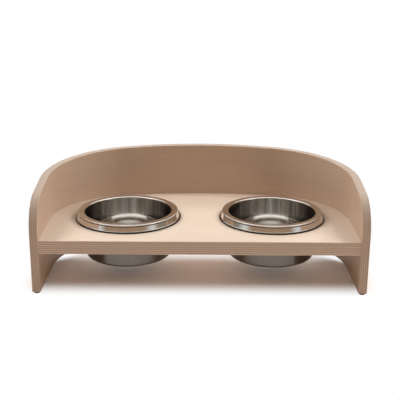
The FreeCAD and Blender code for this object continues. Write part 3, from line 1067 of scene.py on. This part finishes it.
def ceiling_glow(tree):
    """Ceiling that is dark over the front of the object and bright above it and behind it."""
    lit = remap(tree, parts_of(tree, object_place(tree))[1], *CEILING_LIT_FROM)
    return blend_colors(tree, lit, ROOM_DARK, CEILING_LIGHT)


def glowing_material(name, glow, strength, roughness):
    """Dark surface that gives off the colours that a function works out."""
    material, tree, shader = new_material(name)
    tree.links.new(glow(tree), shader.inputs["Emission Color"])
    shader.inputs["Base Color"].default_value = ROOM_DARK
    shader.inputs["Roughness"].default_value = roughness
    shader.inputs["Emission Strength"].default_value = strength
    return material


def make_room():
    """Upright part of a cylinder round the front of the object: one arc at the floor and at the top."""
    turn = np.radians(np.linspace(-ROOM_HALF_TURN, ROOM_HALF_TURN, ROOM_COLUMNS))
    foot = np.stack([ROOM_RADIUS * np.sin(turn), -ROOM_RADIUS * np.cos(turn), np.zeros_like(turn)], axis=1)
    points = np.concatenate([foot, foot + (0, 0, ROOM_HEIGHT)])
    faces = grid_faces(np.arange(len(points)).reshape(2, -1))
    material = glowing_material("dim_room", room_glow, ROOM_GLOW, ROOM_ROUGHNESS)
    return stage_piece("dim_room", points.tolist(), faces.tolist(), material)


room = make_room()
room.visible_camera = False
ceiling_paint = glowing_material("half_lit_ceiling", ceiling_glow, 1.0, CEILING_ROUGHNESS)
ceiling = stage_piece("ceiling", level_square(CEILING_HALF, CEILING_Z), [(3, 2, 1, 0)], ceiling_paint)
ceiling.visible_camera = False
ceiling.visible_diffuse = False
ceiling.visible_shadow = False
print("mirrored:", room.name, ceiling.name)

# %% [markdown]
# ## Light
#
# Two high lamps at the sides and one high behind light the object softly from above, and the world adds a
# little even light. A low lamp behind shines through the cut-out onto the floor under the shelf. It would
# bleach the back of the wall, so it is linked to the floor alone, and the object still casts its shadow.

# %% World and lamps
WORLD_FILL = 0.05
LAMP_WHITE = (1.0, 1.0, 1.0)
LAMP_WARM = (1.0, 0.95, 0.90)
OBJECT_MIDDLE = (0.0, 0.0, 0.1)
FLOOR_MIDDLE = (0.0, 0.0, 0.02)


def make_world():
    """White for the camera and in reflections, and a weaker even light for everything else."""
    world = bpy.data.worlds.new("studio")
    bpy.context.scene.world = world
    world.use_nodes = True
    tree = world.node_tree
    fill = tree.nodes["Background"]
    fill.inputs["Color"].default_value = WHITE
    fill.inputs["Strength"].default_value = WORLD_FILL
    white = add(tree, "ShaderNodeBackground", {"Color": WHITE, "Strength": 1.0})
    mix = add(tree, "ShaderNodeMixShader", {0: seen_rays(tree), 1: fill.outputs[0], 2: white.outputs[0]})
    tree.links.new(mix.outputs[0], tree.nodes["World Output"].inputs["Surface"])


def area_lamp(name, place, aim, size, power, color=LAMP_WHITE):
    """Rectangular lamp that points at a place; the steel mirrors the room and ceiling instead of it."""
    data = bpy.data.lights.new(name, "AREA")
    data.shape = "RECTANGLE"
    data.size, data.size_y = size
    data.energy = power
    data.color = color
    lamp = new_object(name, data)
    lamp.location = place
    lamp.rotation_euler = (Vector(aim) - Vector(place)).to_track_quat("-Z", "Y").to_euler()
    lamp.visible_glossy = False
    return lamp


make_world()
area_lamp("left", (-1.0, 0.1, 1.2), OBJECT_MIDDLE, size=(0.6, 0.6), power=9.8)
area_lamp("right", (1.0, 0.1, 1.2), OBJECT_MIDDLE, size=(0.6, 0.6), power=12.3)
area_lamp("rear", (0.0, 1.1, 1.1), OBJECT_MIDDLE, size=(1.8, 0.5), power=9.6)
floor_lamp = area_lamp(
    "low_rear", (0.0, 1.4, 0.45), FLOOR_MIDDLE, size=(1.2, 0.4), power=18, color=LAMP_WARM
)
floor_alone = bpy.data.collections.new("floor_alone")
floor_alone.objects.link(floor)
floor_lamp.light_linking.receiver_collection = floor_alone
bpy.context.scene.view_settings.view_transform = "Standard"

# %% [markdown]
# ## Camera
#
# The view is from the front and a little above, as one would look at the object on the floor from across
# a room. A camera can be aimed at a point, but then its small tilt is lost, so its place, its turn and its
# tilt are given as they were fitted to the object's outlines.

# %% Camera
FOCAL_PIXELS = 813.34
FRAME_PIXELS = 400
SENSOR_MM = 36
CAMERA_PLACE = (1.18 * MM, -1198.84 * MM, 476.67 * MM)
CAMERA_YAW, CAMERA_PITCH, CAMERA_ROLL = np.radians((-0.062, 17.30, -0.304))


def make_camera():
    """Camera turned by yaw and pitch, then rolled about its own axis."""
    data = bpy.data.cameras.new("camera")
    data.sensor_width = SENSOR_MM
    data.lens = FOCAL_PIXELS / FRAME_PIXELS * SENSOR_MM
    camera = new_object("camera", data)
    level = math.cos(CAMERA_PITCH)
    ahead = Vector((math.sin(CAMERA_YAW) * level, math.cos(CAMERA_YAW) * level, -math.sin(CAMERA_PITCH)))
    right = Vector((math.cos(CAMERA_YAW), -math.sin(CAMERA_YAW), 0))
    down = ahead.cross(right)
    cos, sin = math.cos(CAMERA_ROLL), math.sin(CAMERA_ROLL)
    turn = Matrix((cos * right + sin * down, sin * right - cos * down, -ahead)).transposed().to_4x4()
    turn.translation = CAMERA_PLACE
    camera.matrix_world = turn
    bpy.context.scene.camera = camera
    return camera


print("camera at", tuple(round(v, 3) for v in make_camera().matrix_world.translation))
